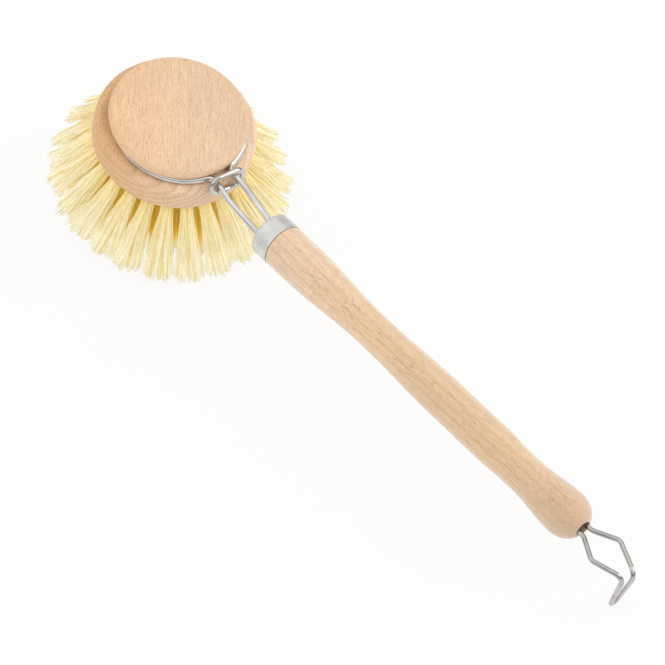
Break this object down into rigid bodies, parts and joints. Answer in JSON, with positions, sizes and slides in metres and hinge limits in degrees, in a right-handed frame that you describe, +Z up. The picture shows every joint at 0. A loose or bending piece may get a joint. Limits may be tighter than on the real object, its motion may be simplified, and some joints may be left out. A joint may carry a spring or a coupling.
{
  "type": "dish brush",
  "caption": "Wooden dish brush: a changeable round bristle head held in a sprung wire loop with a sliding lock ring, on a turned handle with a ferrule and a wire hanging hook.",
  "frame": {"origin": "middle of the brush's bounding box, on the table, with the brush lying on its front tufts and the tip of its hanger", "axes": "+X from the head towards the handle's end, +Z up, +Y to the left when looking along +X"},
  "size_m": [0.2458, 0.0762, 0.0515],
  "materials": {
    "head_beech": "fine-sanded beech, oiled",
    "handle_beech": "fine-sanded beech, oiled",
    "plant_fibre": "pale plant fibre, matt",
    "spring_wire": "tinned spring wire, satin",
    "bright_wire": "bright nickel-plated wire",
    "zinc_sheet": "zinc-plated sheet, satin",
    "hanger_wire": "tinned wire, bright",
    "staple_wire": "drawn flat wire"
  },
  "bodies": {
    "handle": {"handle": "handle_beech", "ferrule": "zinc_sheet", "clip_wire": "spring_wire", "hanger": "hanger_wire"},
    "lock_link": {"lock_link": "bright_wire"},
    "head": {"head_block": "head_beech", "tuft_staples": "staple_wire", "tuft_centre_01": "plant_fibre", "tuft_inner_01": "plant_fibre", "tuft_inner_02": "plant_fibre", "tuft_inner_03": "plant_fibre", "tuft_inner_04": "plant_fibre", "tuft_inner_05": "plant_fibre", "tuft_inner_06": "plant_fibre", "tuft_inner_07": "plant_fibre", "tuft_inner_08": "plant_fibre", "tuft_middle_01": "plant_fibre", "tuft_middle_02": "plant_fibre", "tuft_middle_03": "plant_fibre", "tuft_middle_04": "plant_fibre", "tuft_middle_05": "plant_fibre", "tuft_middle_06": "plant_fibre", "tuft_middle_07": "plant_fibre", "tuft_middle_08": "plant_fibre", "tuft_middle_09": "plant_fibre", "tuft_middle_10": "plant_fibre", "tuft_middle_11": "plant_fibre", "tuft_middle_12": "plant_fibre", "tuft_middle_13": "plant_fibre", "tuft_middle_14": "plant_fibre", "tuft_middle_15": "plant_fibre", "tuft_middle_16": "plant_fibre", "tuft_outer_01": "plant_fibre", "tuft_outer_02": "plant_fibre", "tuft_outer_03": "plant_fibre", "tuft_outer_04": "plant_fibre", "tuft_outer_05": "plant_fibre", "tuft_outer_06": "plant_fibre", "tuft_outer_07": "plant_fibre", "tuft_outer_08": "plant_fibre", "tuft_outer_09": "plant_fibre", "tuft_outer_10": "plant_fibre", "tuft_outer_11": "plant_fibre", "tuft_outer_12": "plant_fibre", "tuft_outer_13": "plant_fibre", "tuft_outer_14": "plant_fibre", "tuft_outer_15": "plant_fibre", "tuft_outer_16": "plant_fibre", "tuft_outer_17": "plant_fibre", "tuft_outer_18": "plant_fibre", "tuft_outer_19": "plant_fibre", "tuft_outer_20": "plant_fibre", "tuft_outer_21": "plant_fibre", "tuft_outer_22": "plant_fibre", "tuft_outer_23": "plant_fibre", "tuft_outer_24": "plant_fibre"}
  },
  "joints": [
    {"name": "link_slide", "type": "slide", "parent": "handle", "child": "lock_link", "axis": [0.9391, 0, -0.3437], "range_m": [0, 0.017]},
    {"name": "head_turn", "type": "hinge", "parent": "handle", "child": "head", "pos_m": [-0.07776, 0, 0.04186], "axis": [0.2991, 0, 0.9542], "continuous": true}
  ]
}
